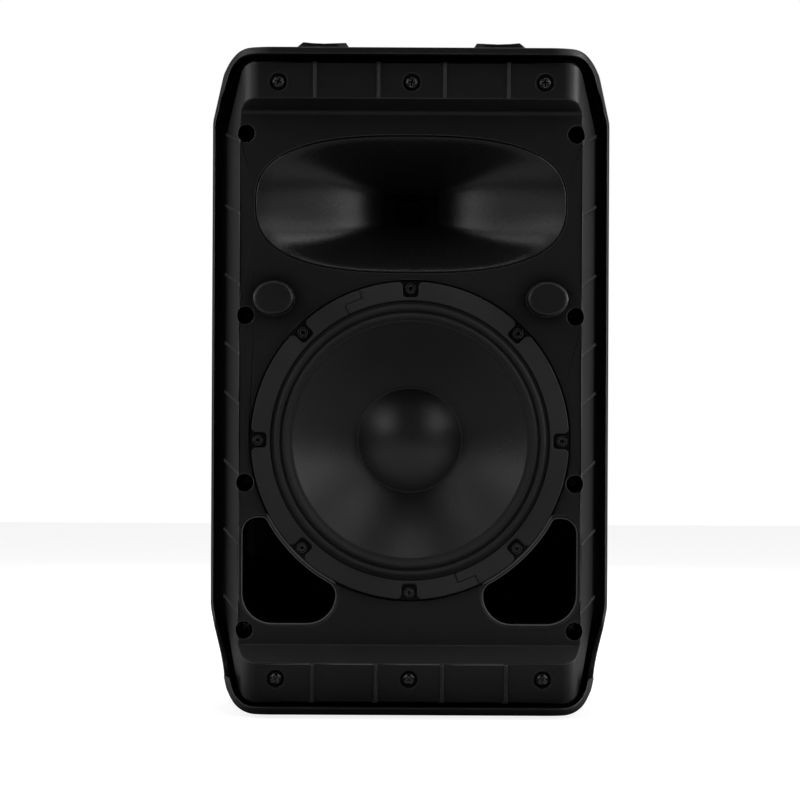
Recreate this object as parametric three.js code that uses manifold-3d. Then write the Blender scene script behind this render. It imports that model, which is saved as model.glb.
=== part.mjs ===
// Two-way active PA loudspeaker cabinet, 10-inch class, grille off.
// Millimetres, +Z up, the front faces -Y, the feet stand on z = 0.
import * as THREE from "three";
import { mergeVertices, toCreasedNormals } from "three/addons/utils/BufferGeometryUtils.js";
import { ParametricGeometry } from "three/addons/geometries/ParametricGeometry.js";
import Module from "manifold-3d";

const wasm = await Module();
wasm.setup();

// ---- driving dimensions ----
const DEPTH = 290; // rim plane to rear face
const SHELL_H = 532; // height of the moulded shell
const FOOT_H = 3; // how far the feet stand below the shell
const GAP = 0.3; // between pieces that touch

// the shell's outline, seen from the front
const HALF_W = 164;
const TOP_HALF = 148.5;
const BOTTOM_HALF = 144;
const TOP_SHOULDER = 53;
const BOTTOM_SHOULDER = 81;
const FRONT_HALF = 133; // where the front turns back into the sides
const REAR_HALF = 100;

// set-backs, measured from the rim plane
const LEDGE_D = 8;
const BAFFLE_D = 28;
const SIDE_LIP_D = 65;
const STRIP_END_D = 73;
const GROOVE_D = 25;
const SEAM_D = 86;
const TAPER_D = 118;

// widths in plan
const BAFFLE_HALF = 138.4;
const STRIP_HALF = 152.5;
const WALL = 4;
const SKIN = 3.5;

// heights above the floor
const Z0 = FOOT_H;
const Z1 = FOOT_H + SHELL_H;
const LEDGE_BOTTOM_Z = [Z0 + 9, Z0 + 40.2];
const LEDGE_TOP_Z = [Z0 + 492, Z0 + 521.2];
const BAFFLE_Z = [Z0 + 53.4, Z0 + 483.5];
const WOOFER_Z = Z0 + 218.4;
const HORN_Z = Z0 + 409.2;
const PAD_Z = Z0 + 332.7;
const PAD_X = 110.2;

// woofer radii
const FRAME_R = 128.6;
const REBATE_R = 129.6;
const GASKET_IN = 112.9;
const GASKET_OUT = 128.2;
const CUTOUT_R = 116;
const CONE_R = 95;
const COIL_R = 25.7;
const CAP_R = 42;
const BOLT_R = 122.6;

// horn
const HORN_HALF = [125, 54.8];
const THROAT_R = 12.7;
const HORN_L = 95;

// rear panel and what it carries
const PANEL_HALF = 82;
const PANEL_Z = [75, 395];
const PANEL_D = DEPTH - 20.7;

const SIDES = [-1, 1];
const yAt = (depth) => depth - DEPTH / 2;

// ---- solids ----
function toSolid(geometry) {
  const plain = geometry.clone();
  plain.deleteAttribute("normal");
  plain.deleteAttribute("uv");
  const merged = mergeVertices(plain, 1e-4);
  const triangles = [];
  const index = merged.index.array;
  for (let i = 0; i < index.length; i += 3) {
    const [a, b, c] = [index[i], index[i + 1], index[i + 2]];
    if (a !== b && b !== c && a !== c) triangles.push(a, b, c);
  }
  return new wasm.Manifold(
    new wasm.Mesh({
      numProp: 3,
      vertProperties: new Float32Array(merged.attributes.position.array),
      triVerts: new Uint32Array(triangles),
    }),
  );
}

function toGeometry(solid) {
  const mesh = solid.getMesh();
  const geometry = new THREE.BufferGeometry();
  geometry.setAttribute("position", new THREE.BufferAttribute(new Float32Array(mesh.vertProperties), 3));
  geometry.setIndex(new THREE.BufferAttribute(new Uint32Array(mesh.triVerts), 1));
  return toCreasedNormals(geometry.toNonIndexed(), 0.6);
}

const join = (...parts) => parts.flat().reduce((a, b) => a.add(b));
const cut = (body, ...tools) => tools.flat().reduce((a, b) => a.subtract(b), body);
const common = (...parts) => parts.reduce((a, b) => a.intersect(b));

// Corners [a, b, radius] to points, each corner rounded by a tangent arc.
function rounded(corners, segments = 4) {
  const points = [];
  corners.forEach(([x, y, r = 0], i) => {
    const here = new THREE.Vector2(x, y);
    if (!r) return points.push(here);
    const [px, py] = corners[(i + corners.length - 1) % corners.length];
    const [nx, ny] = corners[(i + 1) % corners.length];
    const a = new THREE.Vector2(px, py).sub(here).normalize();
    const b = new THREE.Vector2(nx, ny).sub(here).normalize();
    const half = Math.acos(THREE.MathUtils.clamp(a.dot(b), -1, 1)) / 2;
    const centre = a.clone().add(b).normalize().multiplyScalar(r / Math.sin(half)).add(here);
    const from = here.clone().addScaledVector(a, r / Math.tan(half)).sub(centre).angle();
    const to = here.clone().addScaledVector(b, r / Math.tan(half)).sub(centre).angle();
    const turn = Math.atan2(Math.sin(to - from), Math.cos(to - from));
    for (let k = 0; k <= segments; k++) {
      const angle = from + (turn * k) / segments;
      points.push(new THREE.Vector2(centre.x + r * Math.cos(angle), centre.y + r * Math.sin(angle)));
    }
  });
  return points;
}

// A right half, listed upwards, and its mirror image.
const mirrored = (right) => [...right, ...right.map(([x, ...rest]) => [-x, ...rest]).reverse()];

const prism = (points, length) =>
  new THREE.ExtrudeGeometry(new THREE.Shape(points), { depth: length, bevelEnabled: false, steps: 1 });

// Prisms along Y (outline in x, z), along Z (x, y) and along X (y, z).
const alongY = (points, d0, d1) =>
  toSolid(prism(points, d1 - d0).rotateX(Math.PI / 2).translate(0, yAt(d1), 0));
const alongZ = (points, z0, z1) => toSolid(prism(points, z1 - z0).translate(0, 0, z0));
function alongX(points, x0, x1) {
  const turn = new THREE.Matrix4().makeBasis(
    new THREE.Vector3(0, 1, 0),
    new THREE.Vector3(0, 0, 1),
    new THREE.Vector3(1, 0, 0),
  );
  return toSolid(prism(points, x1 - x0).applyMatrix4(turn).translate(x0, 0, 0));
}

const slab = ([x0, x1], [d0, d1], [z0, z1]) =>
  toSolid(
    new THREE.BoxGeometry(x1 - x0, d1 - d0, z1 - z0).translate(
      (x0 + x1) / 2,
      yAt((d0 + d1) / 2),
      (z0 + z1) / 2,
    ),
  );

// A cylinder along Y between two depths.
const rod = (x, z, r, d0, d1, sides = 20) =>
  toSolid(new THREE.CylinderGeometry(r, r, d1 - d0, sides).translate(x, yAt((d0 + d1) / 2), z));

// A cylinder along Z.
const post = (x, depth, r, z0, z1, sides = 24) =>
  toSolid(
    new THREE.CylinderGeometry(r, r, z1 - z0, sides)
      .rotateX(Math.PI / 2)
      .translate(x, yAt(depth), (z0 + z1) / 2),
  );

// A closed [radius, depth] profile turned about the Y axis.
function turned(profile, sides = 36) {
  const points = profile.map(([r, d]) => new THREE.Vector2(r, yAt(d)));
  const onAxis = points[0].x === 0 && points.at(-1).x === 0;
  if (!onAxis) points.push(points[0].clone());
  const area = points.reduce((sum, p, i) => {
    const q = points[(i + 1) % points.length];
    return sum + p.x * q.y - q.x * p.y;
  }, 0);
  if (area < 0) points.reverse();
  return toSolid(new THREE.LatheGeometry(points, sides));
}

function tube(points, radius, steps = 14) {
  const circle = new THREE.Shape().absarc(0, 0, radius, 0, 2 * Math.PI);
  const path = new THREE.CatmullRomCurve3(points.map(([x, d, z]) => new THREE.Vector3(x, yAt(d), z)));
  return toSolid(
    new THREE.ExtrudeGeometry(circle, {
      extrudePath: path,
      steps,
      curveSegments: 3,
      bevelEnabled: false,
    }),
  );
}

// ---- shared outlines ----
const shellOutline = (inset) =>
  rounded(
    mirrored([
      [BOTTOM_HALF - 0.8 * inset, Z0 + inset, 27 - inset],
      [HALF_W - inset, Z0 + BOTTOM_SHOULDER, 46],
      [HALF_W - inset, Z1 - TOP_SHOULDER, 30],
      [TOP_HALF - 0.8 * inset, Z1 - inset, 27 - inset],
    ]),
  );

// The plan: a flat front, round corners and sides that open a little, then a taper to the back.
const shellPlan = (inset) =>
  rounded(
    mirrored([
      [FRONT_HALF - inset, yAt(inset), 34 - inset],
      [HALF_W - inset, yAt(76), 15],
      [HALF_W - inset, yAt(TAPER_D), 40],
      [REAR_HALF - inset, yAt(DEPTH - inset), 14 - inset],
    ]).reverse(),
  );

// The carrier that the grille lies on, in plan and from the front.
const carrierPlan = (inset) =>
  rounded(
    mirrored([
      [132.1 - inset, yAt(LEDGE_D + inset), 14 - inset],
      [STRIP_HALF - inset, yAt(STRIP_END_D), 0],
      [STRIP_HALF - inset, yAt(SEAM_D), 0],
    ]).reverse(),
  );
const carrierOutline = (inset) =>
  rounded(
    mirrored([
      [135.5 - inset, LEDGE_BOTTOM_Z[0] + inset, 15 - inset],
      [STRIP_HALF - inset, Z0 + 80, 25],
      [STRIP_HALF - inset, Z1 - 63, 18],
      [135 - inset, LEDGE_TOP_Z[1] - inset, 12 - inset],
    ]),
  );
const carrier = (inset) =>
  common(alongZ(carrierPlan(inset), Z0, Z1), alongY(carrierOutline(inset), 0, SEAM_D));

// Everything in front of the groove's floor, in plan; `back` moves the floor backwards.
const beforeFloor = (back) =>
  alongZ(
    rounded(
      mirrored([
        [200, yAt(-20)],
        [200, yAt(80 + back)],
        [148, yAt(80 + back), 6],
        [124, yAt(GROOVE_D + back), 10],
      ]).reverse(),
    ),
    -10,
    Z1 + 20,
  );

// A port's bore, or with `grow` its tube's outside: a corner of the baffle, hollowed to follow the woofer.
function portBlock(side, grow, d0, d1) {
  const [inner, outer] = [58.8 - grow, 135.8 + grow];
  const [low, high] = [Z0 + 69.5 - grow, Z0 + 156.6 + grow];
  const r = REBATE_R + 2 - grow;
  const hollow = [-59.5, -53, -46, -39, -32].map((degrees) => {
    const angle = THREE.MathUtils.degToRad(degrees);
    return [r * Math.cos(angle), WOOFER_Z + r * Math.sin(angle), 0];
  });
  const corners = rounded([
    [inner, low, 24 + grow],
    [outer, low, 25 + grow],
    [outer, high, 13 + grow],
    [Math.sqrt(r * r - (WOOFER_Z - high) ** 2), high, 6],
    ...hollow.reverse(),
    [inner, WOOFER_Z - Math.sqrt(r * r - inner * inner), 12],
  ]);
  return alongY(corners.map((p) => new THREE.Vector2(side * p.x, p.y)), d0, d1);
}

// ---- front shell ----
const LEDGE_SCREWS = [-106.7, 0, 106.7].flatMap((x) => [
  [x, Z0 + 505.2],
  [x, Z0 + 27.8],
]);
const SIDE_HOLES = SIDES.flatMap((side) =>
  [465.8, 318.9, 183.7, 64.7].map((z) => [133.5 * side, Z0 + z]),
);
const WOOFER_ANGLES = [0, 1, 2, 3, 4, 5, 6, 7].map((k) => (k * Math.PI) / 4);

// A bolt's place from the woofer's axis.
const boltAt = (angle) => [BOLT_R * Math.cos(angle), BOLT_R * Math.sin(angle)];
const STRIP_RIBS = [459.3, 400.8, 343.9, 287.4, 247.1, 190.6, 134.1, 79.2];

// The horn's mouth, a squarish oval about its axis.
const hornOutline = (grow, axisZ = HORN_Z) => {
  const points = [];
  for (let k = 0; k < 36; k++) {
    const angle = (k * Math.PI) / 18;
    const [c, s] = [Math.cos(angle), Math.sin(angle)];
    const power = 2 / 2.7;
    const x = (HORN_HALF[0] + grow) * Math.sign(c) * Math.abs(c) ** power;
    const z = (HORN_HALF[1] + grow) * Math.sign(s) * Math.abs(s) ** power;
    points.push(new THREE.Vector2(x, axisZ + z));
  }
  return points;
};

// The recess over the baffle: flat at the back, with sloping steps up to the two ledges.
function baffleRecess(inset) {
  const back = yAt(BAFFLE_D) + inset;
  const side = [
    [yAt(-10), LEDGE_BOTTOM_Z[1] - 15.2 - inset],
    [yAt(LEDGE_D), LEDGE_BOTTOM_Z[1] - inset, 2],
    [back, BAFFLE_Z[0] - inset, 2],
    [back, BAFFLE_Z[1] + inset, 3],
    [yAt(LEDGE_D), LEDGE_TOP_Z[0] + inset, 2],
    [yAt(-10), LEDGE_TOP_Z[0] + 8 + inset],
  ];
  return alongX(rounded(side, 3), -180, 180);
}

function stripRib(side, z) {
  const start = new THREE.Vector3(side * (BAFFLE_HALF - 0.3), yAt(BAFFLE_D + 0.5), Z0 + z);
  const end = new THREE.Vector3(side * (STRIP_HALF - 0.3), yAt(STRIP_END_D), Z0 + z + 10.3);
  const along = end.clone().sub(start);
  const length = along.length();
  const out = new THREE.Vector3(along.y, -along.x, 0).normalize();
  const up = new THREE.Vector3().crossVectors(out, along).normalize();
  const basis = new THREE.Matrix4().makeBasis(out, along.normalize(), up);
  basis.setPosition(start.lerp(end, 0.5));
  return toSolid(new THREE.BoxGeometry(2.6, length, 1.8).applyMatrix4(basis));
}

const ledgeRib = (x, [z0, z1]) => slab([x - 0.9, x + 0.9], [LEDGE_D - 1.1, LEDGE_D + 1], [z0 + 1, z1 - 1]);

function frontShell() {
  const all = [-20, Z1 + 20];
  const blank = common(
    alongY(shellOutline(0), 0, SEAM_D),
    alongZ(shellPlan(0), ...all),
  );
  const lipInside = rounded(
    mirrored([
      [BOTTOM_HALF - 5, Z0 + 5.9, 21],
      [HALF_W - 2.5, Z0 + BOTTOM_SHOULDER, 44],
      [HALF_W - 2.5, Z1 - TOP_SHOULDER, 28],
      [TOP_HALF - 4.5, Z1 - 5.5, 21],
    ]),
  );
  const sideOpening = rounded([
    [yAt(-10), Z0 + 26],
    [yAt(SIDE_LIP_D), Z0 + 26, 26],
    [yAt(SIDE_LIP_D), Z1 - 26, 26],
    [yAt(-10), Z1 - 26],
  ]);
  const air = cut(
    join(common(alongY(lipInside, -1, 84), beforeFloor(0)), alongX(sideOpening, -200, 200)),
    carrier(0),
  );
  const recess = baffleRecess(0);
  const inside = cut(
    join(
      carrier(SKIN),
      cut(
        common(alongY(shellOutline(WALL), 0, SEAM_D + 1), alongZ(shellPlan(WALL), ...all)),
        beforeFloor(SKIN),
      ),
    ),
    baffleRecess(SKIN),
  );
  const mounts = common(
    join(
      cut(rod(0, WOOFER_Z, 136, BAFFLE_D, 41, 36), alongY(hornOutline(10.5), BAFFLE_D + SKIN, 60)),
      LEDGE_SCREWS.map(([x, z]) => rod(x, z, 9.2, LEDGE_D, 26, 8)),
      SIDE_HOLES.map(([x, z]) => rod(x, z, 9, BAFFLE_D, 74, 8)),
      SIDES.map((side) => portBlock(side, 3, BAFFLE_D, 110)),
    ),
    join(carrier(0), alongY(shellOutline(8), SEAM_D - 1, 120)),
  );
  const ribs = [
    ...STRIP_RIBS.flatMap((z) => SIDES.map((side) => stripRib(side, z))),
    ...[-77.5, -26.5, 26.5, 77.5].flatMap((x) => [ledgeRib(x, LEDGE_TOP_Z), ledgeRib(x, LEDGE_BOTTOM_Z)]),
  ];
  const pads = SIDES.map((side) => gripPad(side * PAD_X, PAD_Z));
  const shell = join(cut(blank, air, recess, inside), cut(mounts, recess), ribs, pads);
  return cut(
    shell,
    rod(0, WOOFER_Z, REBATE_R, BAFFLE_D - 1, 31, 36),
    rod(0, WOOFER_Z, CUTOUT_R, 30, 50, 36),
    alongY(hornOutline(0.8), BAFFLE_D - 1, 40),
    SIDES.map((side) => portBlock(side, 0, BAFFLE_D - 1, 111)),
    LEDGE_SCREWS.map(([x, z]) => rod(x, z, 7.2, LEDGE_D - 1, LEDGE_D + 3, 12)),
    LEDGE_SCREWS.map(([x, z]) => rod(x, z, 2.7, LEDGE_D, 30, 6)),
    SIDE_HOLES.map(([x, z]) => rod(x, z, 6.2, BAFFLE_D - 8, 68, 12)),
    SIDE_HOLES.map(([x, z]) => rod(x, z, 2.4, 60, 80, 6)),
    WOOFER_ANGLES.map(boltAt).map(([x, z]) => rod(x, WOOFER_Z + z, 2.9, 30, 45, 6)),
    footPocket(FRONT_FEET),
  );
}

// An oval pad the grille rests on, drawn in towards its face.
const gripPad = (x, z) => {
  const side = new THREE.CylinderGeometry(16.3, 13.6, 17, 24);
  return toSolid(side.scale(1, 1, 0.84).translate(x, yAt(BAFFLE_D - 7.5), z));
};

// ---- feet ----
const FRONT_FEET = SIDES.map((side) => [side * 100, 48]);
const REAR_FEET = SIDES.map((side) => [side * 74, 256]);
const footPocket = (feet) => feet.map(([x, d]) => post(x, d, 12.3, Z0 - 1, Z0 + 1.5, 20));

// ---- rear shell ----
const RECESS_HALF = PANEL_HALF + 4;
const RECESS_Z = [PANEL_Z[0] - 4, PANEL_Z[1] + 4];
const HANDLE_D = 130;
const POLE_D = 140;

const sideProfile = (inset) =>
  rounded([
    [yAt(SEAM_D - 5), Z0 + inset],
    [yAt(DEPTH - inset), Z0 + inset, 16 - inset],
    [yAt(DEPTH - inset), Z1 - inset, 16 - inset],
    [yAt(SEAM_D - 5), Z1 - inset],
  ]);

const boxOutline = (half, [z0, z1], r) =>
  rounded([
    [half, z0, r],
    [half, z1, r],
    [-half, z1, r],
    [-half, z0, r],
  ]);

const wellPlan = (inset) =>
  rounded([
    [54 - inset, yAt(HANDLE_D - 38 + inset), 20 - inset],
    [54 - inset, yAt(HANDLE_D + 38 - inset), 20 - inset],
    [-54 + inset, yAt(HANDLE_D + 38 - inset), 20 - inset],
    [-54 + inset, yAt(HANDLE_D - 38 + inset), 20 - inset],
  ]);

function rearShell() {
  const start = SEAM_D + GAP;
  const tub = (inset) =>
    common(
      alongY(shellOutline(inset), inset ? start - 1 : start, DEPTH),
      alongZ(shellPlan(inset), -20, Z1 + 20),
      alongX(sideProfile(inset), -200, 200),
    );
  const frameZ = [RECESS_Z[0] - WALL, RECESS_Z[1] + WALL];
  const linings = join(
    alongY(boxOutline(RECESS_HALF + WALL, frameZ, 10), PANEL_D - 4.3, DEPTH - 2),
    alongZ(wellPlan(-WALL), Z1 - 40, Z1 - 2),
    post(0, POLE_D, 34, Z0 + 2, Z0 + 10, 32),
    SIDES.map((side) => post(side * 77, HANDLE_D, 8, Z1 - 24, Z1 - 2, 16)),
  );
  const windowZ = [PANEL_Z[0] + 8, PANEL_Z[1] - 8];
  const body = join(cut(tub(0), tub(WALL)), common(linings, tub(0)));
  return cut(
    body,
    alongY(boxOutline(RECESS_HALF, RECESS_Z, 6), PANEL_D, DEPTH + 1),
    alongY(boxOutline(PANEL_HALF - 8, windowZ, 6), PANEL_D - 10, PANEL_D + 1),
    alongZ(wellPlan(0), Z1 - 36, Z1 + 5),
    post(0, POLE_D, 21.5, Z0 - 1, Z0 + 12, 32),
    post(0, POLE_D, 33.5, Z0 - 1, Z0 + 2.5, 32),
    SIDES.map((side) => post(side * 77, HANDLE_D, 2.6, Z1 - 20, Z1 + 1, 10)),
    alongY(shellOutline(2.2), start - 1, start + 2.9),
    footPocket(REAR_FEET),
  );
}

const shellSeal = () =>
  cut(
    alongY(shellOutline(2.5), SEAM_D + GAP, SEAM_D + GAP + 2.6),
    alongY(shellOutline(WALL + 0.4), SEAM_D - 1, SEAM_D + 5),
  );

// ---- woofer, about its own axis ----
function basket() {
  const frame = turned([
    [110.5, 28.2],
    [FRAME_R, 28.2],
    [FRAME_R, 30.7],
    [114.5, 30.7],
    [113, 44],
    [77, 91],
    [77, 99],
    [30, 99],
    [30, 96],
    [65, 96],
    [65, 89.2],
    [73.5, 89.2],
    [73.5, 87],
    [110.5, 42.5],
  ]);
  const windows = [0, 1, 2, 3, 4, 5].map((k) =>
    toSolid(
      new THREE.BoxGeometry(44, 32, 66)
        .translate(98, 0, 0)
        .rotateY((k + 0.5) * (Math.PI / 3))
        .translate(0, yAt(65), 0),
    ),
  );
  return cut(frame, windows, WOOFER_ANGLES.map((angle) => rod(...boltAt(angle), 2.9, 25, 35, 6)));
}

// The part of the plane above the gasket's split, which steps round a tongue at each joint.
function gasketRegion(slack) {
  const [low, high, step] = [-67.5, 112.5, 3.5];
  const middle = 121 - slack;
  const turn = (slack * 180) / (Math.PI * middle);
  const points = [
    [60, low - step + turn],
    [middle, low - step + turn],
    [middle, low + step + turn],
    [150, low + step + turn],
    [250, -20],
    [250, 22],
    [250, 65],
    [150, high - step - turn],
    [middle, high - step - turn],
    [middle, high + step - turn],
    [60, high + step - turn],
  ];
  return points.map(([r, degrees]) => {
    const angle = THREE.MathUtils.degToRad(degrees);
    return new THREE.Vector2(r * Math.cos(angle), r * Math.sin(angle));
  });
}

// One half of the gasket ring, with an open notch for each screw.
function gasket(upper) {
  const whole = turned(ring(GASKET_IN, GASKET_OUT, 24.9, 27.9));
  const notch = rounded([
    [115.6, -6.2, 3],
    [125.2, -6.2, 2.5],
    [131, -12, 0],
    [131, 12, 0],
    [125.2, 6.2, 2.5],
    [115.6, 6.2, 3],
  ]);
  const notches = WOOFER_ANGLES.map((angle) =>
    alongY(notch.map((p) => p.clone().rotateAround(new THREE.Vector2(), angle)), 20, 30),
  );
  const region = alongY(gasketRegion(upper ? GAP / 2 : -GAP / 2), 20, 30);
  return cut(upper ? common(whole, region) : cut(whole, region), notches);
}

// The cone's face: a slope with a slight belly.
const coneDepth = (r) =>
  28.8 + (CONE_R - r) * 0.66 + 4.2 * Math.sin((Math.PI * (CONE_R - r)) / 68.5);

function cone() {
  const radii = [CONE_R, 78, 60, 42, COIL_R + 1];
  const front = radii.map((r) => [r, coneDepth(r)]);
  const back = radii.map((r) => [r, coneDepth(r) + 1.1]).reverse();
  return turned([[98.3, 28.8], ...front, ...back, [98.3, 29.9]]);
}

function surround() {
  const wave = (r) => {
    if (r < 97.6 || r > 110.6) return 0;
    return Math.sin((Math.PI * (r - 97.6)) / 6.5) ** 2;
  };
  const radii = [95.3, 97.6, 100.7, 104.3, 107.7, 110.6, 112.6];
  const front = radii.map((r) => [r, 27.3 - 3.4 * wave(r)]);
  const back = radii.map((r) => [r, 27.9 - 3.4 * wave(r)]).reverse();
  return turned([...front, ...back]);
}

function spider() {
  const radii = [COIL_R + 0.9, 32, 40, 48, 56, 64, 73];
  const wave = (i) => (i === 0 || i > 4 ? 0 : 1.3 * (i % 2 ? 1 : -1));
  const front = radii.map((r, i) => [r, 88.1 + wave(i)]);
  const back = radii.map((r, i) => [r, 88.7 + wave(i)]).reverse();
  return turned([...front, ...back], 32);
}

function dustCap() {
  const rise = (r) => coneDepth(CAP_R) - 0.4 - 15 * (1 - (r / CAP_R) ** 2);
  const radii = [0, 16, 30, CAP_R - 0.4];
  const front = radii.map((r) => [r, rise(r) - 0.9]);
  return turned([...front, ...radii.map((r) => [r, rise(r)]).reverse()], 40);
}

const ring = (rIn, rOut, d0, d1) => [
  [rIn, d0],
  [rOut, d0],
  [rOut, d1],
  [rIn, d1],
];

const backPlate = () =>
  turned([
    [0, 98],
    [24.2, 98],
    [24.2, 124.3],
    [56, 124.3],
    [58, 126.3],
    [58, 131],
    [0, 131],
  ]);

const wooferScrew = () =>
  turned(
    [
      [0, 27],
      [2.2, 25.2],
      [4.3, 25.2],
      [4.3, 27.9],
      [2.3, 27.9],
      [2.3, 44],
      [0, 44],
    ],
    8,
  );

// ---- horn and compression driver, about their own axis ----
const THROAT_D = BAFFLE_D + HORN_L;

function hornGeometry() {
  const lip = BAFFLE_D + 0.2;
  const mouth = (s) => 1 - (1 - s) ** 1.12;
  const inner = [0, 0.12, 0.35, 0.65, 1].map((s) => ({
    d: lip + 72 * s,
    a: 23 + (HORN_HALF[0] - 24.6) * (1 - mouth(s)),
    b: 12.6 + (HORN_HALF[1] - 14.2) * (1 - s) ** 1.25,
    n: 2.7 + 3 * s,
  }));
  const outerWall = [0.7, 0.35].map((s) => ({
    d: lip + 72 * s + 1.5,
    a: 27 + (HORN_HALF[0] - 25) * (1 - mouth(s)),
    b: 16 + (HORN_HALF[1] - 14.5) * (1 - s) ** 1.25,
    n: 2.7 + 3 * s,
  }));
  const round = (d, r) => ({ d, a: r, b: r, n: 2 });
  const flange = (d, grow) => ({ d, a: HORN_HALF[0] + grow, b: HORN_HALF[1] + grow, n: 2.7 });
  const loop = [
    ...inner,
    round(THROAT_D - 10, THROAT_R + 1),
    round(THROAT_D, THROAT_R),
    round(THROAT_D, 32),
    round(THROAT_D - 7, 32),
    round(THROAT_D - 7, 17.5),
    { d: THROAT_D - 20, a: 25, b: 16.5, n: 4 },
    ...outerWall,
    flange(BAFFLE_D + 8, 2),
    flange(BAFFLE_D + 8, 9),
    flange(BAFFLE_D + 4.3, 9),
    flange(BAFFLE_D + 4.3, 0),
    flange(lip, 0),
  ];
  const around = 36;
  const place = (u, v, target) => {
    const { d, a, b, n } = loop[Math.round(v * loop.length) % loop.length];
    const angle = (2 * Math.PI * (Math.round(u * around) % around)) / around;
    const [c, s] = [Math.cos(angle), Math.sin(angle)];
    const x = a * Math.sign(c) * Math.abs(c) ** (2 / n);
    const z = b * Math.sign(s) * Math.abs(s) ** (2 / n);
    target.set(Math.abs(c) < 1e-9 ? 0 : x, yAt(d), Math.abs(s) < 1e-9 ? 0 : z);
  };
  return new ParametricGeometry(place, around, loop.length);
}

const DRIVER_SIDES = 28;
const hfMotor = () =>
  turned(
    [
      [THROAT_R, THROAT_D + GAP],
      [40, THROAT_D + GAP],
      [40, THROAT_D + 8],
      [19.5, THROAT_D + 8],
      [19.5, THROAT_D + 29],
      [THROAT_R, THROAT_D + 29],
    ],
    DRIVER_SIDES,
  );

const hfDiaphragm = () =>
  turned(
    [
      [0, THROAT_D + 40.2],
      [12, THROAT_D + 38],
      [19, THROAT_D + 31.4],
      [28, THROAT_D + 31.1],
      [28, THROAT_D + 31.7],
      [19.4, THROAT_D + 32],
      [12.4, THROAT_D + 38.7],
      [0, THROAT_D + 41],
    ],
    DRIVER_SIDES,
  );

const hfRearCap = () =>
  turned(
    [
      [31, THROAT_D + 29.6],
      [39, THROAT_D + 29.6],
      [39, THROAT_D + 45],
      [34, THROAT_D + 52],
      [0, THROAT_D + 52],
      [0, THROAT_D + 48],
      [31, THROAT_D + 45],
    ],
    DRIVER_SIDES,
  );

// ---- rear panel and heat sink ----
const FACE_D = PANEL_D + 3.3;
const CONTROLS = {
  combo: [46, 350],
  link: [46, 300],
  knob: [2, 354],
  micLine: [2, 318],
  boost: [2, 292],
  lens: [-20, 330],
  rocker: [-50, 350],
  mains: [-46, 304],
};
const SINK_Z = [90, 262];
const SINK_BASE = 3;
const FIN_PITCH = 11;
const FIN_COUNT = 13;
const FIN_H = 11.4;

// A plate along Y with round corners, about (x, z).
const plate = ([x, z], halfX, halfZ, d0, d1, r = 3) => {
  const outline = boxOutline(halfX, [z - halfZ, z + halfZ], r);
  return alongY(outline.map((p) => new THREE.Vector2(p.x + x, p.y)), d0, d1);
};

function ampPanel() {
  const { combo, link, knob, micLine, boost, lens, rocker, mains } = CONTROLS;
  const through = [PANEL_D - 1, FACE_D + 1];
  const edge = [RECESS_Z[0] + 0.5, RECESS_Z[1] - 0.5];
  return cut(
    alongY(boxOutline(RECESS_HALF - 0.5, edge, 5.5), PANEL_D + GAP, FACE_D),
    [combo, link].map(([x, z]) => rod(x, z, 12.2, ...through, 24)),
    rod(...knob, 3.8, ...through, 12),
    [micLine, boost].map(([x, z]) => rod(x, z, 4.6, ...through, 16)),
    rod(...lens, 3, ...through, 12),
    plate(rocker, 11.2, 8.2, ...through, 1),
    plate(mains, 14.6, 10.6, ...through, 2),
  );
}

function heatSink() {
  const half = (FIN_PITCH * (FIN_COUNT - 1)) / 2;
  const base = slab([-half - 4, half + 4], [FACE_D + GAP, FACE_D + GAP + SINK_BASE], SINK_Z);
  const fins = Array.from({ length: FIN_COUNT }, (_, k) => {
    const x = FIN_PITCH * k - half;
    return slab([x - 1.3, x + 1.3], [FACE_D + 1, FACE_D + SINK_BASE + FIN_H], SINK_Z);
  });
  return join(base, fins);
}

function ampCover() {
  const outer = alongY(boxOutline(72, [85, 385], 6), 200, PANEL_D);
  const inner = alongY(boxOutline(70, [87, 383], 4), 202, PANEL_D + 1);
  const leadHoles = [rod(30, 260, 3.2, 198, 204, 10), rod(-30, 330, 3.2, 198, 204, 10)];
  return cut(outer, inner, leadHoles);
}

const BOARD_D = PANEL_D - 26;
const board = () => slab([-64, 64], [BOARD_D, BOARD_D + 1.6], [210, 378]);
const transformer = () => turned(ring(12, 36, 226, 258), 32);

// ---- connectors and controls, each about its own axis ----
const HERE = [0, 0];

// A square-flanged round connector with a barrel behind the panel.
function connector(pins) {
  const body = join(
    plate(HERE, 13, 15.5, FACE_D + GAP, FACE_D + 2.8),
    rod(...HERE, 11.8, PANEL_D - 14, FACE_D + 1, 24),
  );
  const hollow = rod(...HERE, 10.2, PANEL_D - 11, FACE_D + 4, 24);
  return join(
    cut(body, hollow),
    pins.map(([x, z]) => rod(x, z, 1.2, PANEL_D - 12, FACE_D - 4, 8)),
  );
}

const XLR = [
  [-4, 2.5],
  [4, 2.5],
  [0, -4.5],
];

function comboInput() {
  const core = cut(
    rod(...HERE, 8.6, PANEL_D - 12, FACE_D - 0.4, 24),
    rod(...HERE, 3.4, PANEL_D - 8, FACE_D, 16),
    XLR.map(([x, z]) => rod(1.4 * x, 1.4 * z, 1.1, PANEL_D - 8, FACE_D, 8)),
  );
  const tabSlot = slab([-3.4, 3.4], [PANEL_D - 1, FACE_D + 4], [8, 11.4]);
  return cut(join(connector([]), core), tabSlot);
}

const releaseTab = () => slab([-3, 3], [PANEL_D + 2, FACE_D + 4.6], [8.9, 11]);

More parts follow.
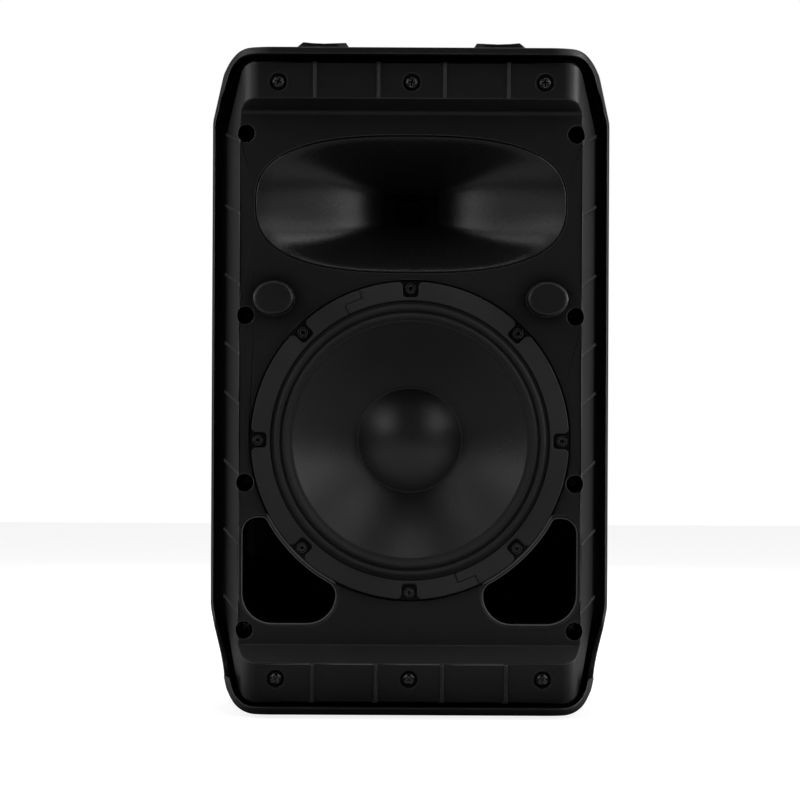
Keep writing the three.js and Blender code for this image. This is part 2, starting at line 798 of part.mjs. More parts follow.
function mainsInlet() {
  const body = join(
    plate(HERE, 24.5, 13.5, FACE_D + GAP, FACE_D + 3),
    plate(HERE, 14.2, 10.2, PANEL_D - 20, FACE_D + 1, 2),
  );
  const blades = [
    [-7, 0],
    [0, 3],
    [7, 0],
  ].map(([x, z]) => slab([x - 1, x + 1], [PANEL_D - 17, FACE_D - 3], [z - 2, z + 2]));
  return join(cut(body, plate(HERE, 12.4, 8.4, PANEL_D - 16, FACE_D + 4, 2)), blades);
}

const rockerBezel = () =>
  cut(
    join(
      plate(HERE, 13.5, 10.5, FACE_D + GAP, FACE_D + 2, 1.5),
      plate(HERE, 10.8, 7.8, PANEL_D - 16, FACE_D + 1, 1),
    ),
    plate(HERE, 9.6, 6.4, PANEL_D - 14, FACE_D + 4, 0.6),
  );

// The rocker leans about a pin across its middle.
function powerRocker() {
  const pinY = yAt(FACE_D - 1);
  const outline = [
    [-8.6, 4.6],
    [-8.6, 0],
    [-3, -6],
    [3, -6],
    [8.6, 0],
    [8.6, 4.6],
    [0, 2.6],
  ];
  return alongZ(outline.map(([x, y]) => new THREE.Vector2(x, pinY + y)), -5.8, 5.8);
}

function volumeKnob() {
  const knob = turned(
    [
      [0, PANEL_D - 3],
      [3, PANEL_D - 3],
      [3, FACE_D + 1],
      [9, FACE_D + 1],
      [9, FACE_D + 10.5],
      [8, FACE_D + 12],
      [0, FACE_D + 12],
    ],
    24,
  );
  return cut(knob, slab([-0.7, 0.7], [FACE_D + 11, FACE_D + 14], [1, 12]));
}

const button = () =>
  turned(
    [
      [0, PANEL_D - 8],
      [4, PANEL_D - 8],
      [4, FACE_D + 3.4],
      [3.4, FACE_D + 4],
      [0, FACE_D + 4],
    ],
    16,
  );

const statusLens = () =>
  turned(
    [
      [0, PANEL_D - 6],
      [2.6, PANEL_D - 6],
      [2.6, FACE_D],
      [2, FACE_D + 1.4],
      [0, FACE_D + 1.8],
    ],
    12,
  );

// ---- carrying and standing ----
const HANDLE_SCREW_X = 77;

function topHandle() {
  const base = Z1 + GAP;
  const front = rounded(
    mirrored([
      [47, Z1 - 5, 3],
      [52, base],
      [102, base, 2],
      [102, Z1 + 11, 5],
      [89, Z1 + 20.5, 3],
      [56, Z1 + 20.5, 3],
      [50, Z1 + 12, 8],
    ]),
  );
  const plan = rounded(
    mirrored([
      [46, yAt(HANDLE_D - 13), 10],
      [62, yAt(HANDLE_D - 21), 8],
      [102, yAt(HANDLE_D - 21), 14],
      [102, yAt(HANDLE_D + 21), 14],
      [62, yAt(HANDLE_D + 21), 8],
      [46, yAt(HANDLE_D + 13), 10],
    ]).reverse(),
  );
  const bar = common(
    alongY(front, HANDLE_D - 30, HANDLE_D + 30),
    alongZ(plan, Z1 - 10, Z1 + 30),
  );
  const dishR = 150;
  const dishes = SIDES.map((side) =>
    rod(side * 73, Z1 + 18 + dishR, dishR, HANDLE_D - 40, HANDLE_D + 40, 90),
  );
  const holes = SIDES.flatMap((side) => [
    post(side * HANDLE_SCREW_X, HANDLE_D, 6.5, Z1 + 12, Z1 + 24, 20),
    post(side * HANDLE_SCREW_X, HANDLE_D, 2.7, Z1 - 2, Z1 + 14, 10),
  ]);
  return cut(bar, dishes, holes);
}

// A round-headed screw along Z with a recess in its head.
function handleScrew() {
  const top = Z1 + 15.3;
  return cut(
    join(post(0, 0, 6, top - 3, top, 16), post(0, 0, 2.3, top - 28, top - 2, 10)),
    post(0, 0, 2.2, top - 1.6, top + 1, 6),
  );
}

const ledgeScrew = () =>
  turned(
    [
      [0, LEDGE_D + 0.6],
      [2.4, LEDGE_D - 1],
      [5.5, LEDGE_D - 0.4],
      [5.5, LEDGE_D + 2.7],
      [2, LEDGE_D + 2.7],
      [2, LEDGE_D + 16],
      [0, LEDGE_D + 16],
    ],
    10,
  );

function poleSocket() {
  const flange = post(0, 0, 33, Z0 + 0.3, Z0 + 2.2, 32);
  const sleeve = post(0, 0, 21, Z0 + 0.3, Z0 + 88, 32);
  return cut(join(flange, sleeve), post(0, 0, 18, Z0 - 1, Z0 + 84, 32));
}

const foot = () => post(0, 0, 12, 0, FOOT_H + 1.2, 20);

// A foam pad on the left wall, following its slant.
function dampingPad() {
  const slant = (HALF_W - REAR_HALF) / (DEPTH - WALL - TAPER_D);
  const wall = (d) => HALF_W - WALL - 0.8 - slant * (d - TAPER_D);
  const [near, far] = [TAPER_D + 18, DEPTH - 62];
  const plan = [
    [-wall(near), near],
    [-wall(near) + 20, near],
    [-wall(far) + 20, far],
    [-wall(far), far],
  ];
  return alongZ(plan.map(([x, d]) => new THREE.Vector2(x, yAt(d))), 120, 420);
}

// ---- internal leads, from the cover's holes to the terminals ----
const WOOFER_ROUTE = [
  [30, 199.6, 260],
  [34, 190, 256],
  [70, 175, 240],
  [96, 140, 228],
  [98, 108, WOOFER_Z],
  [90, 95.5, WOOFER_Z],
  [77.6, 95, WOOFER_Z],
];
const HORN_ROUTE = [
  [-30, 199.6, 330],
  [-34, 192, 336],
  [-46, 188, 372],
  [-36, 184, 402],
  [-22, 182, HORN_Z],
  [-22, 175.4, HORN_Z],
];

// ---- materials ----
const material = (color, roughness, metalness = 0) =>
  new THREE.MeshStandardMaterial({ color, roughness, metalness });
const shellPlastic = () => material(0x1a1a1b, 0.62);
const rubber = () => material(0x161616, 0.85);
const steel = () => material(0x8d8f92, 0.4, 1);
const blackSteel = () => material(0x1c1c1d, 0.45, 0.6);
const paper = () => material(0x171718, 0.75);
const cloth = () => material(0x141414, 0.9);
const spiderCloth = () => material(0xb08a45, 0.9);
const ferrite = () => material(0x2b2a2a, 0.6);
const copper = () => material(0xb87333, 0.4, 1);
const titanium = () => material(0xaab0b5, 0.35, 1);
const panelPaint = () => material(0x1d1d1f, 0.5, 0.4);
const sheetMetal = () => material(0x9a9c9e, 0.45, 1);
const socketPlastic = () => material(0x121212, 0.4);
const paleButton = () => material(0xc8c8c6, 0.4);
const redSleeve = () => material(0x8c1c1c, 0.5);

// ---- the assembly ----
function piece(name, solid, paint, x = 0, y = 0, z = 0) {
  const mesh = new THREE.Mesh(toGeometry(solid), paint);
  mesh.name = name;
  mesh.position.set(x, y, z);
  return mesh;
}

function groupAt(z, ...meshes) {
  const group = new THREE.Group();
  group.position.z = z;
  group.add(...meshes.flat());
  return group;
}

const cabinet = () => [
  piece("front_shell", frontShell(), shellPlastic()),
  piece("rear_shell", rearShell(), shellPlastic()),
  piece("shell_seal", shellSeal(), rubber()),
  LEDGE_SCREWS.map(([x, z], i) =>
    piece(`ledge_screw_${i + 1}`, ledgeScrew(), blackSteel(), x, 0, z),
  ),
  piece("damping_pad", dampingPad(), material(0x3a3a3d, 0.95)),
  piece("woofer_lead", tube(WOOFER_ROUTE, 1.8), redSleeve()),
  piece("hf_lead", tube(HORN_ROUTE, 1.8), redSleeve()),
];

const woofer = () => [
  piece("woofer_basket", basket(), blackSteel()),
  piece("gasket_upper", gasket(true), rubber()),
  piece("gasket_lower", gasket(false), rubber()),
  piece("woofer_surround", surround(), cloth()),
  piece("woofer_cone", cone(), paper()),
  piece("dust_cap", dustCap(), paper()),
  piece("woofer_spider", spider(), spiderCloth()),
  piece("voice_coil", turned(ring(COIL_R - 0.5, COIL_R + 0.5, 76, 112), 40), copper()),
  piece("woofer_top_plate", turned(ring(27.6, 54, 99.3, 106)), steel()),
  piece("woofer_magnet", turned(ring(31, 62, 106.3, 124)), ferrite()),
  piece("woofer_back_plate", backPlate(), steel()),
  WOOFER_ANGLES.map(boltAt).map(([x, z], i) =>
    piece(`woofer_screw_${i + 1}`, wooferScrew(), blackSteel(), x, 0, z),
  ),
];

const highFrequency = () => [
  piece("horn", toSolid(hornGeometry()), shellPlastic()),
  piece("hf_motor", hfMotor(), steel()),
  piece("hf_magnet", turned(ring(24, 44, THROAT_D + 8.3, THROAT_D + 24), DRIVER_SIDES), ferrite()),
  piece("hf_top_plate", turned(ring(20.8, 38, THROAT_D + 24.3, THROAT_D + 29.3), DRIVER_SIDES), steel()),
  piece("hf_diaphragm", hfDiaphragm(), titanium()),
  piece("hf_rear_cap", hfRearCap(), material(0x202021, 0.5)),
];

const electronics = () => {
  const at = (name, solid, paint, [x, z]) => piece(name, solid, paint, x, 0, z);
  return [
    piece("amp_panel", ampPanel(), panelPaint()),
    piece("heat_sink", heatSink(), panelPaint()),
    piece("amp_cover", ampCover(), sheetMetal()),
    piece("amp_board", board(), material(0x1f5a33, 0.6)),
    at("amp_transformer", transformer(), material(0xc9a227, 0.5), [0, 145]),
    at("combo_input", comboInput(), socketPlastic(), CONTROLS.combo),
    at("release_tab", releaseTab(), sheetMetal(), CONTROLS.combo),
    at("link_output", connector(XLR), socketPlastic(), CONTROLS.link),
    at("mains_inlet", mainsInlet(), socketPlastic(), CONTROLS.mains),
    at("rocker_bezel", rockerBezel(), socketPlastic(), CONTROLS.rocker),
    at("power_rocker", powerRocker(), socketPlastic(), CONTROLS.rocker),
    at("volume_knob", volumeKnob(), material(0x161616, 0.55), CONTROLS.knob),
    at("mic_line_button", button(), paleButton(), CONTROLS.micLine),
    at("boost_button", button(), paleButton(), CONTROLS.boost),
    at("status_lens", statusLens(), material(0x2bd14a, 0.2), CONTROLS.lens),
  ];
};

// The upright pieces are built at the rim plane, so each one's y position is its depth.
const standing = () => [
  piece("top_handle", topHandle(), material(0x19191a, 0.55)),
  piece("handle_screw_left", handleScrew(), blackSteel(), -HANDLE_SCREW_X, HANDLE_D),
  piece("handle_screw_right", handleScrew(), blackSteel(), HANDLE_SCREW_X, HANDLE_D),
  piece("pole_socket", poleSocket(), material(0x222223, 0.5, 0.5), 0, POLE_D),
  [...FRONT_FEET, ...REAR_FEET].map(([x, d], i) =>
    piece(`foot_${i + 1}`, foot(), rubber(), x, d),
  ),
];

const speaker = new THREE.Group();
speaker.name = "pa_speaker_cabinet";
speaker.add(
  groupAt(0, cabinet().flat()),
  groupAt(WOOFER_Z, woofer().flat()),
  groupAt(HORN_Z, highFrequency()),
  groupAt(0, electronics()),
  groupAt(0, standing().flat()),
);

export default speaker;
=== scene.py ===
import math

import bmesh
import bpy
import numpy as np
from mathutils import Matrix, Vector


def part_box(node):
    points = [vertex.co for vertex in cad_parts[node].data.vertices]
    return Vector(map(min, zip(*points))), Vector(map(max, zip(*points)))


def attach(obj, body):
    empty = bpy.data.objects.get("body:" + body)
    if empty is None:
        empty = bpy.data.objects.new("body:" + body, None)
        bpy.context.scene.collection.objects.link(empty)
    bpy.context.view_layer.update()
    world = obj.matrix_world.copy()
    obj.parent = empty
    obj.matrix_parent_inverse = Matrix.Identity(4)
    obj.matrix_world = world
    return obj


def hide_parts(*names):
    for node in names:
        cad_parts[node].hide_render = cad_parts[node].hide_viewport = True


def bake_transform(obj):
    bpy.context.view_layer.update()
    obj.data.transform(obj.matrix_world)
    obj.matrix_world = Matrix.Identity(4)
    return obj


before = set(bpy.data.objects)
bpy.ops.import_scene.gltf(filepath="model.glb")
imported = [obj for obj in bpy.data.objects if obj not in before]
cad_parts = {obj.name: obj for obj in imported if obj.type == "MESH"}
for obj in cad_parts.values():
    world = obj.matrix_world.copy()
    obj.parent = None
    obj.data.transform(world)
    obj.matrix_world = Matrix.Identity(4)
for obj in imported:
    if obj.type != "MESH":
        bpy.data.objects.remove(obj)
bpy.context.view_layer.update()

# ---- the frame: depths run back from the rim, heights run up from the shell's base ----
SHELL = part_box("front_shell")
RIM_Y, BASE_Z = SHELL[0].y, SHELL[0].z
HALF_W = SHELL[1].x * 1000
HEIGHT = (SHELL[1].z - BASE_Z) * 1000
DEPTH = (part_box("rear_shell")[1].y - RIM_Y) * 1000
SIDES = (-1, 1)


def across_and_up(node):
    """A piece's middle as (x, height) in millimetres."""
    low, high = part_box(node)
    centre = (low + high) / 2
    return (centre.x * 1000, (centre.z - BASE_Z) * 1000)


WOOFER_H = across_and_up("woofer_magnet")[1]
HORN_H = across_and_up("hf_magnet")[1]

# ---- driving sizes, in millimetres ----
BOTTOM_HALF, TOP_HALF = 144, 148.5
BOTTOM_SHOULDER, TOP_SHOULDER = 81, 53
RIM_ROUND = 27
FRONT_HALF, REAR_HALF = 133, 100
FLANK_HALF, FLANK_BACK = 152.5, 86
LEDGE = 8
BAFFLE = 28
WALL = 3.5
LOWER_STEP, UPPER_STEP = 53.4, 483.5
REBATE_R, REBATE_BACK = 129.6, 31
BASKET_R, BASKET_FRONT = 128.6, 28.2
GASKET_IN, GASKET_OUT = 112.9, 128.2
GASKET_FRONT, GASKET_BACK = 24.9, 27.9
CONE_R, COIL_R, CAP_R = 95.0, 25.7, 42.0
ROLL_IN, ROLL_OUT = 97.4, 110.8
CAP_RISE = 15
HORN_A, HORN_B = 125.0, 54.8
HORN_SQUARE = 2.7
THROAT = 123.0
PAD_X, PAD_H = 110.2, 332.7
RIB_HALF = 0.9
RIB_X = (-77.5, -26.5, 26.5, 77.5)
RIB_H = (459.3, 400.8, 343.9, 287.4, 247.1, 190.6, 134.1, 79.2)
SIDE_HOLES = [(133.5 * side, h) for side in SIDES for h in (465.8, 318.9, 183.7, 64.7)]
LEDGE_SCREWS = [across_and_up(f"ledge_screw_{i}") for i in range(1, 7)]
WOOFER_BOLTS = [across_and_up(f"woofer_screw_{i}") for i in range(1, 9)]


# ---- outlines, in millimetres ----
def rounded(corners, segments=10):
    """Corners (a, b, radius) to points, each corner rounded by a tangent arc."""
    points = []
    count = len(corners)
    for i, corner in enumerate(corners):
        here = Vector(corner[:2])
        radius = corner[2] if len(corner) > 2 else 0
        if radius <= 0:
            points.append(tuple(here))
            continue
        a = (Vector(corners[i - 1][:2]) - here).normalized()
        b = (Vector(corners[(i + 1) % count][:2]) - here).normalized()
        half = math.acos(max(-1, min(1, a.dot(b)))) / 2
        if half > math.radians(89.9):
            points.append(tuple(here))
            continue
        centre = here + (a + b).normalized() * (radius / math.sin(half))
        start = here + a * (radius / math.tan(half)) - centre
        end = here + b * (radius / math.tan(half)) - centre
        first = math.atan2(start.y, start.x)
        turn = math.atan2(start.x * end.y - start.y * end.x, start.dot(end))
        for k in range(segments + 1):
            angle = first + turn * k / segments
            points.append((centre.x + radius * math.cos(angle), centre.y + radius * math.sin(angle)))
    return points


def mirrored(right):
    return right + [(-c[0], *c[1:]) for c in reversed(right)]


def circle(x, h, r, count):
    angles = [2 * math.pi * k / count for k in range(count)]
    return [(x + r * math.cos(angle), h + r * math.sin(angle)) for angle in angles]


def on_woofer(r, degrees):
    """A point at a radius and an angle round the woofer's axis."""
    angle = math.radians(degrees)
    return (r * math.cos(angle), WOOFER_H + r * math.sin(angle))


def about_woofer(shape, angle):
    """Points (outwards, across) turned by an angle round the woofer's axis."""
    c, s = math.cos(angle), math.sin(angle)
    return [(a * c - b * s, WOOFER_H + a * s + b * c) for a, b in shape]


def spread(low, high, count):
    return [low + (high - low) * i / (count - 1) for i in range(count)]


def superellipse(a, b, n, count, x=0.0, h=0.0):
    points = []
    for k in range(count):
        angle = 2 * math.pi * k / count
        c, s = math.cos(angle), math.sin(angle)
        points.append((x + a * math.copysign(abs(c) ** (2 / n), c), h + b * math.copysign(abs(s) ** (2 / n), s)))
    return points


def shell_outline(inset):
    return rounded(
        mirrored([
            (BOTTOM_HALF - 0.8 * inset, inset, RIM_ROUND - inset),
            (HALF_W - inset, BOTTOM_SHOULDER, 46),
            (HALF_W - inset, HEIGHT - TOP_SHOULDER, 30),
            (TOP_HALF - 0.8 * inset, HEIGHT - inset, RIM_ROUND - inset),
        ]),
        12,
    )


def shell_plan(inset):
    return rounded(
        mirrored([
            (FRONT_HALF - inset, inset, 34 - inset),
            (HALF_W - inset, 76, 15),
            (HALF_W - inset, 118, 60),
            (REAR_HALF - inset, DEPTH - inset, 14 - inset),
        ]),
        12,
    )


def carrier_plan(inset):
    """The raised front's plan: its ledges, and the side strips that slope back from them."""
    return rounded(
        mirrored([
            (132.1 - inset, LEDGE + inset, 14 - inset),
            (FLANK_HALF - inset, 73),
            (FLANK_HALF - inset, FLANK_BACK),
        ])
    )


def carrier_outline(inset):
    return rounded(
        mirrored([
            (135.5 - inset, 9 + inset, 15 - inset),
            (FLANK_HALF - inset, 80, 25),
            (FLANK_HALF - inset, HEIGHT - 63, 18),
            (135 - inset, 521.2 - inset, 12 - inset),
        ]),
        12,
    )


# ---- solids ----
def mesh_object(name, points, faces):
    mesh = bpy.data.meshes.new(name)
    mesh.from_pydata([tuple(p) for p in points], [], faces)
    form = bmesh.new()
    form.from_mesh(mesh)
    bmesh.ops.remove_doubles(form, verts=form.verts, dist=1e-7)
    bmesh.ops.recalc_face_normals(form, faces=form.faces)
    form.to_mesh(mesh)
    form.free()
    obj = bpy.data.objects.new(name, mesh)
    bpy.context.scene.collection.objects.link(obj)
    return obj


def prism(points, low, high, place):
    count = len(points)
    verts = [place(a, b, t) for t in (low, high) for a, b in points]
    faces = [list(range(count)), list(range(count, 2 * count))]
    faces += [[i, (i + 1) % count, count + (i + 1) % count, count + i] for i in range(count)]
    return mesh_object("tool", verts, faces)


def stacked(name, rims):
    """A solid through several rings of points, all of one count, closed at both ends."""
    count = len(rims[0])
    last = count * (len(rims) - 1)
    sides = [
        [low + k, low + (k + 1) % count, low + count + (k + 1) % count, low + count + k]
        for low in range(0, last, count)
        for k in range(count)
    ]
    ends = [list(range(count)), list(range(last, last + count))]
    return mesh_object(name, [point for rim in rims for point in rim], sides + ends)


def mm(x, depth, height):
    return (x / 1000, RIM_Y + depth / 1000, BASE_Z + height / 1000)


def along_y(points, d0, d1):
    return prism(points, d0, d1, lambda x, h, d: mm(x, d, h))


def along_z(points, h0, h1):
    return prism(points, h0, h1, lambda x, d, h: mm(x, d, h))


def along_x(points, x0, x1):
    return prism(points, x0, x1, lambda d, h, x: mm(x, d, h))


def block(x, d, h):
    return along_y([(x[0], h[0]), (x[1], h[0]), (x[1], h[1]), (x[0], h[1])], *d)


def rod(x, h, r, d0, d1, count=48):
    return along_y(circle(x, h, r, count), d0, d1)


def turned(name, profile, h, sides=128):
    """A closed [radius, depth] profile turned about the front-to-back axis at a height."""
    verts, faces = [], []
    rows = len(profile)
    for k in range(sides):
        angle = 2 * math.pi * k / sides
        for r, depth in profile:
            verts.append(mm(r * math.cos(angle), depth, h + r * math.sin(angle)))
    for k in range(sides):
        for i in range(rows):
            here, beside = k * rows, ((k + 1) % sides) * rows
            after = (i + 1) % rows
            faces.append([here + i, here + after, beside + after, beside + i])
    obj = mesh_object(name, verts, faces)
    form = bmesh.new()
    form.from_mesh(obj.data)
    bmesh.ops.dissolve_degenerate(form, edges=form.edges, dist=1e-8)
    form.to_mesh(obj.data)
    form.free()
    return obj


def solve(base, *steps):
    """Applies (operation, tool) pairs to base and removes the tools."""
    tools = []
    for operation, found in steps:
        for tool in found if isinstance(found, list) else [found]:
            change = base.modifiers.new("change", "BOOLEAN")
            change.operation = operation
            change.solver = "MANIFOLD"
            change.object = tool
            tools.append(tool)
    graph = bpy.context.evaluated_depsgraph_get()
    result = bpy.data.meshes.new_from_object(base.evaluated_get(graph))
    base.modifiers.clear()
    base.data = result
    for tool in tools:
        bpy.data.objects.remove(tool)
    return base


def clean(obj):
    """Merges slivers and splits large many-sided faces, so that the bevels have sound faces to work on."""
    form = bmesh.new()
    form.from_mesh(obj.data)
    bmesh.ops.remove_doubles(form, verts=form.verts, dist=5e-5)
    bmesh.ops.dissolve_degenerate(form, edges=form.edges, dist=5e-5)
    bmesh.ops.dissolve_limit(form, angle_limit=math.radians(0.5), verts=form.verts, edges=form.edges)
    bmesh.ops.triangulate(form, faces=[f for f in form.faces if len(f.verts) > 4])
    form.to_mesh(obj.data)
    form.free()
    return obj


def cut(base, *tools):
    return solve(base, *[("DIFFERENCE", t) for t in tools])


def join(base, *tools):
    return solve(base, *[("UNION", t) for t in tools])


def common(base, *tools):
    return solve(base, *[("INTERSECT", t) for t in tools])


# ---- materials ----
def new_material(name):
    material = bpy.data.materials.new(name)
    material.use_nodes = True
    return material, material.node_tree.nodes, material.node_tree.links


def remapped(nodes, links, value, source, target):
    """A Map Range node fed by value, from the source range to the target range."""
    node = nodes.new("ShaderNodeMapRange")
    node.inputs["From Min"].default_value, node.inputs["From Max"].default_value = source
    node.inputs["To Min"].default_value, node.inputs["To Max"].default_value = target
    links.new(value, node.inputs["Value"])
    return node


def noise(nodes, links, where, scale, detail):
    node = nodes.new("ShaderNodeTexNoise")
    node.inputs["Scale"].default_value = scale
    node.inputs["Detail"].default_value = detail
    links.new(where, node.inputs["Vector"])
    return node.outputs["Fac"]


# How far in from an edge the painted highlight reaches.
EDGE_HIGHLIGHT_RADIUS = 0.0013  # metres
# How near a wall must stand for shade to be painted into a corner.
CORNER_SHADE_REACH = 0.05  # metres
ROUGH_VARY = 0.08
CLOUD_SCALE = 9


def edge_highlight_mask(nodes, links):
    """1 on edges, where a highlight is painted, 0 on flats: how far a rounded normal leans away from the face's own.
    """
    rounded_edge = nodes.new("ShaderNodeBevel")
    rounded_edge.samples = 4
    rounded_edge.inputs["Radius"].default_value = EDGE_HIGHLIGHT_RADIUS
    face = nodes.new("ShaderNodeNewGeometry")
    lean = nodes.new("ShaderNodeVectorMath")
    lean.operation = "DOT_PRODUCT"
    links.new(rounded_edge.outputs["Normal"], lean.inputs[0])
    links.new(face.outputs["Normal"], lean.inputs[1])
    return remapped(nodes, links, lean.outputs["Value"], (0.95, 0.75), (0, 1)).outputs["Result"]


def painted_corner_shade(nodes, links):
    """Painted shade: a specular level that falls where walls stand close to the surface."""
    open_air = nodes.new("ShaderNodeAmbientOcclusion")
    open_air.samples = 8
    open_air.inputs["Distance"].default_value = CORNER_SHADE_REACH
    return remapped(nodes, links, open_air.outputs["AO"], (0.5, 0.95), (0.05, 0.65)).outputs["Result"]


def surface(name, color, rough, grain=0.0005, bump=0.1, vary=0.25, metal=0.0, specular=0.5, edge_highlight=None,
            shade_corners=False):
    """A moulded or coated surface: grain in its bump, slow variation in its colour and roughness.

    Its edge grey, if given, is a highlight painted along its edges; if asked, painted shade takes the gloss from its
    corners.
    """
    material, nodes, links = new_material(name)
    shader = nodes["Principled BSDF"]
    shader.inputs["Metallic"].default_value = metal
    shader.inputs["Specular IOR Level"].default_value = specular
    where = nodes.new("ShaderNodeTexCoord").outputs["Object"]
    ramp = nodes.new("ShaderNodeValToRGB")
    for stop, position, share in zip(ramp.color_ramp.elements, (0.35, 0.65), (1 - vary, 1 + vary)):
        stop.position = position
        stop.color = [c * share for c in color] + [1]
    links.new(noise(nodes, links, where, CLOUD_SCALE, 4), ramp.inputs["Fac"])
    tone = ramp.outputs["Color"]
    # Painted highlight: a paler grey mixed in along the edges.
    if edge_highlight:
        highlighted = nodes.new("ShaderNodeMix")
        highlighted.data_type = "RGBA"
        highlighted.inputs["B"].default_value = (edge_highlight, edge_highlight, edge_highlight, 1)
        links.new(edge_highlight_mask(nodes, links), highlighted.inputs["Factor"])
        links.new(tone, highlighted.inputs["A"])
        tone = highlighted.outputs["Result"]
    links.new(tone, shader.inputs["Base Color"])
    # Painted shade: less gloss in corners and recesses, as under the ledges.
    if shade_corners:
        links.new(painted_corner_shade(nodes, links), shader.inputs["Specular IOR Level"])
    grainy = noise(nodes, links, where, 1 / grain, 2)
    rough_range = (rough - ROUGH_VARY, rough + ROUGH_VARY)
    links.new(remapped(nodes, links, grainy, (0, 1), rough_range).outputs["Result"], shader.inputs["Roughness"])
    relief = nodes.new("ShaderNodeBump")
    relief.inputs["Strength"].default_value = bump
    relief.inputs["Distance"].default_value = grain * 0.5
    links.new(grainy, relief.inputs["Height"])
    links.new(relief.outputs["Normal"], shader.inputs["Normal"])
    return material


# The edge greys given below are painted highlight; the shell also has painted shade in its corners.
SHELL_SKIN = surface("shell_skin", (0.0065, 0.0065, 0.0068), 0.44, grain=0.0009, bump=0.45, vary=0.35, edge_highlight=0.16,
                     shade_corners=True)
HORN_SKIN = surface("horn_skin", (0.01, 0.01, 0.0102), 0.29, grain=0.0007, bump=0.25, vary=0.15, specular=0.6)
CONE_SKIN = surface("cone_skin", (0.009, 0.009, 0.0092), 0.4, grain=0.0016, bump=0.15, vary=0.2)
CAP_SKIN = surface("cap_skin", (0.012, 0.012, 0.0124), 0.4, grain=0.0012, bump=0.1, vary=0.15, specular=0.95)
ROLL_SKIN = surface("roll_skin", (0.02, 0.02, 0.021), 0.66, grain=0.0004, bump=0.3, vary=0.2)
GASKET_SKIN = surface("gasket_skin", (0.036, 0.036, 0.037), 0.7, grain=0.0008, bump=0.6, vary=0.25, edge_highlight=0.07)
BASKET_SKIN = surface("basket_skin", (0.004, 0.004, 0.004), 0.4, grain=0.0006, bump=0.2, vary=0.2, specular=0.25)
SCREW_SKIN = surface("screw_skin", (0.014, 0.014, 0.015), 0.22, grain=0.0008, bump=0.25, vary=0.3, metal=0.4,
                     edge_highlight=0.3)
STEEL_SKIN = surface("steel_skin", (0.42, 0.43, 0.44), 0.35, grain=0.0005, bump=0.08, metal=1.0)
PANEL_SKIN = surface("panel_skin", (0.03, 0.03, 0.032), 0.45, grain=0.0006, bump=0.3, vary=0.2, edge_highlight=0.2)
KNOB_SKIN = surface("knob_skin", (0.02, 0.02, 0.02), 0.45, grain=0.0005, bump=0.1)
PALE_SKIN = surface("pale_skin", (0.5, 0.5, 0.49), 0.4, grain=0.0005, bump=0.05, vary=0.05)
GREEN_SKIN = surface("green_skin", (0.05, 0.5, 0.12), 0.2, grain=0.001, bump=0.02)
RUBBER_SKIN = surface("rubber_skin", (0.018, 0.018, 0.018), 0.8, grain=0.0007, bump=0.4)
BOARD_SKIN = surface("board_skin", (0.02, 0.13, 0.05), 0.5, grain=0.002, bump=0.1)
WINDING_SKIN = surface("winding_skin", (0.45, 0.3, 0.03), 0.5, grain=0.001, bump=0.3)
COPPER_SKIN = surface("copper_skin", (0.5, 0.2, 0.08), 0.35, grain=0.0006, bump=0.2, metal=1.0)
CLOTH_SKIN = surface("cloth_skin", (0.35, 0.22, 0.07), 0.9, grain=0.0006, bump=0.5)
FERRITE_SKIN = surface("ferrite_skin", (0.03, 0.029, 0.029), 0.6, grain=0.0008, bump=0.2)
FOAM_SKIN = surface("foam_skin", (0.05, 0.05, 0.053), 0.95, grain=0.002, bump=1.0)
WIRE_SKIN = surface("wire_skin", (0.3, 0.012, 0.012), 0.45, grain=0.002, bump=0.05)
PIN_SKIN = surface("pin_skin", (0.6, 0.61, 0.62), 0.25, grain=0.0005, bump=0.05, metal=1.0)


def shade(mesh, angle):
    """Smooths across edges flatter than the angle. Faces weigh by their area, so that large flats stay flat."""
    mesh.shade_smooth()
    faces = len(mesh.polygons)
    normals = np.zeros(faces * 3)
    areas = np.zeros(faces)
    mesh.polygons.foreach_get("normal", normals)
    mesh.polygons.foreach_get("area", areas)
    normals = normals.reshape(-1, 3)
    counts = np.zeros(faces, int)
    mesh.polygons.foreach_get("loop_total", counts)
    face_of = np.repeat(np.arange(faces), counts)
    vertex_of = np.zeros(len(mesh.loops), int)
    mesh.loops.foreach_get("vertex_index", vertex_of)
    order = np.argsort(vertex_of, kind="stable")
    starts = np.flatnonzero(np.diff(vertex_of[order], prepend=-1))
    result = np.zeros((len(mesh.loops), 3))
    limit = math.cos(math.radians(angle))
    for corners in np.split(order, starts[1:]):
        own = normals[face_of[corners]]
        near = (own @ own.T) > limit
        result[corners] = (near * areas[face_of[corners]]) @ own
    result /= np.linalg.norm(result, axis=1, keepdims=True) + 1e-12
    mesh.normals_split_custom_set(result)


def bevel_edges(obj, width, segments):
    """Adds a bevel, its width in millimetres, to every edge sharper than 35 degrees."""
    edges = obj.modifiers.new("edges", "BEVEL")
    edges.width = width / 1000
    edges.segments = segments
    edges.limit_method = "ANGLE"
    edges.angle_limit = math.radians(35)
    return edges


def finish(obj, name, material, body="cabinet", replaces=(), bevel=0.0, segments=2, angle=40):
    """Rounds the edges, sets the shading and says what the piece rides on and stands for."""
    obj.name = name
    if bevel:
        edges = bevel_edges(obj, bevel, segments)
        edges.use_clamp_overlap = False
        edges.loop_slide = False
        graph = bpy.context.evaluated_depsgraph_get()
        obj.data = bpy.data.meshes.new_from_object(obj.evaluated_get(graph))
        obj.modifiers.clear()
    obj.data.name = name
    obj.data.materials.clear()
    obj.data.materials.append(material)
    shade(obj.data, angle)
    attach(obj, body)
    if replaces:
        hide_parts(*replaces)
    return obj


